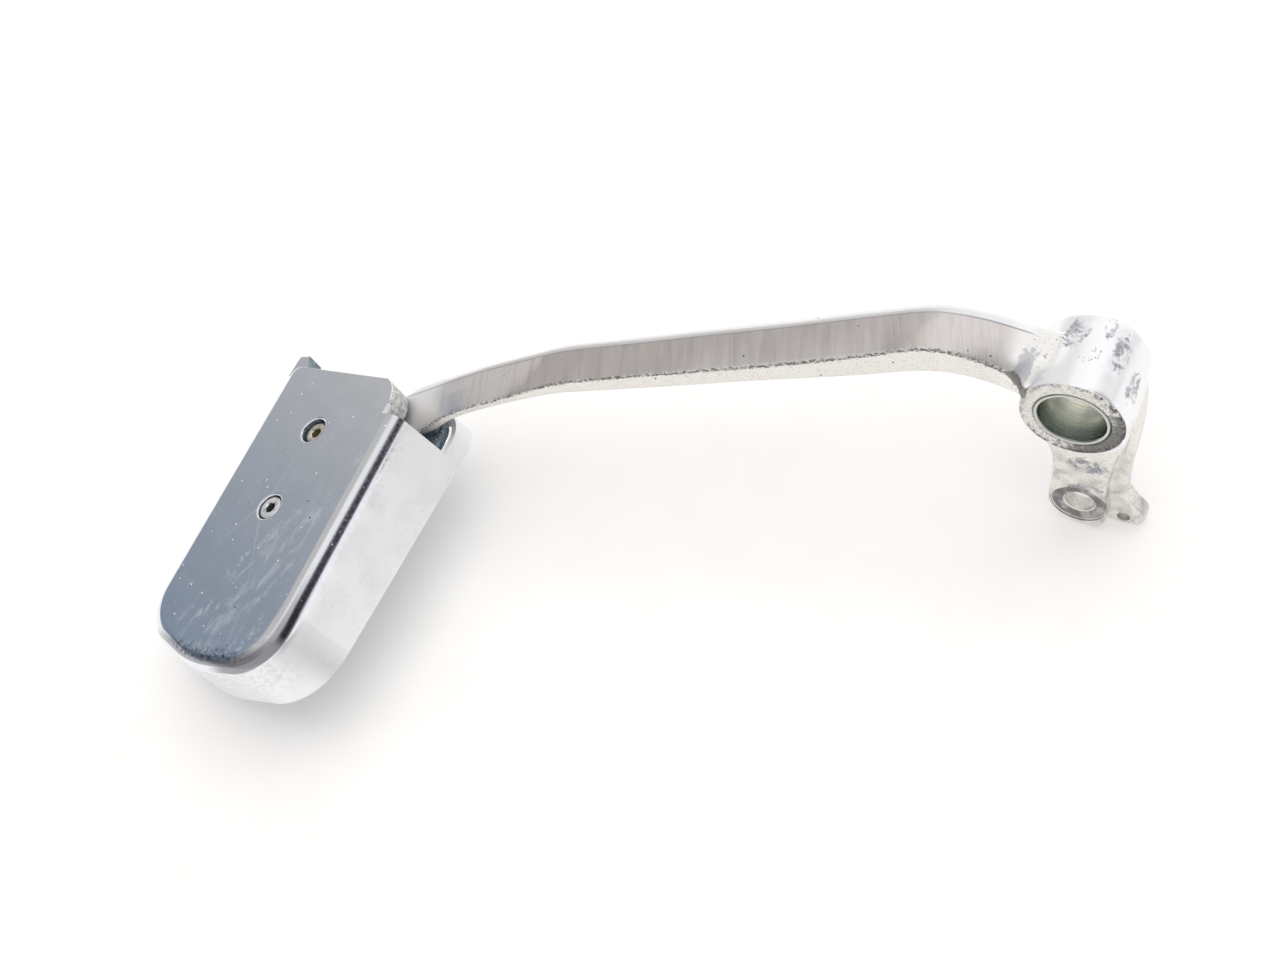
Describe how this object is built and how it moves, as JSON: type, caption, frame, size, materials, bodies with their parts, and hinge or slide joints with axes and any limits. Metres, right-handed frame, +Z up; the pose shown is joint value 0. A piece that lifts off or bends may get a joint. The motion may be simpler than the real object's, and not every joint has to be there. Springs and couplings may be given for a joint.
{
  "type": "rear brake pedal",
  "caption": "Cranked foot lever with a bushed pivot boss, a rod lug, a spring lug and a plated pad cover held by socket screws.",
  "frame": {"origin": "pivot axis at the outboard face of the boss", "axes": "+X from the pad towards the boss, +Y inboard along the pivot axis, +Z up with the part lying as it rests on a bench"},
  "size_m": [0.2418, 0.162, 0.065],
  "materials": {
    "arm_metal": "polished and worn cast aluminium",
    "bush_metal": "plain steel with old grease",
    "cover_metal": "bright plating with light scratches",
    "yellow_screw": "yellow plated steel",
    "plain_screw": "bright plated steel"
  },
  "bodies": {
    "root": {"pedal_arm": "arm_metal", "pivot_bush": "bush_metal", "pad_cover": "cover_metal", "pad_screw_root": "yellow_screw", "pad_screw_tip": "plain_screw"}
  },
  "joints": []
}
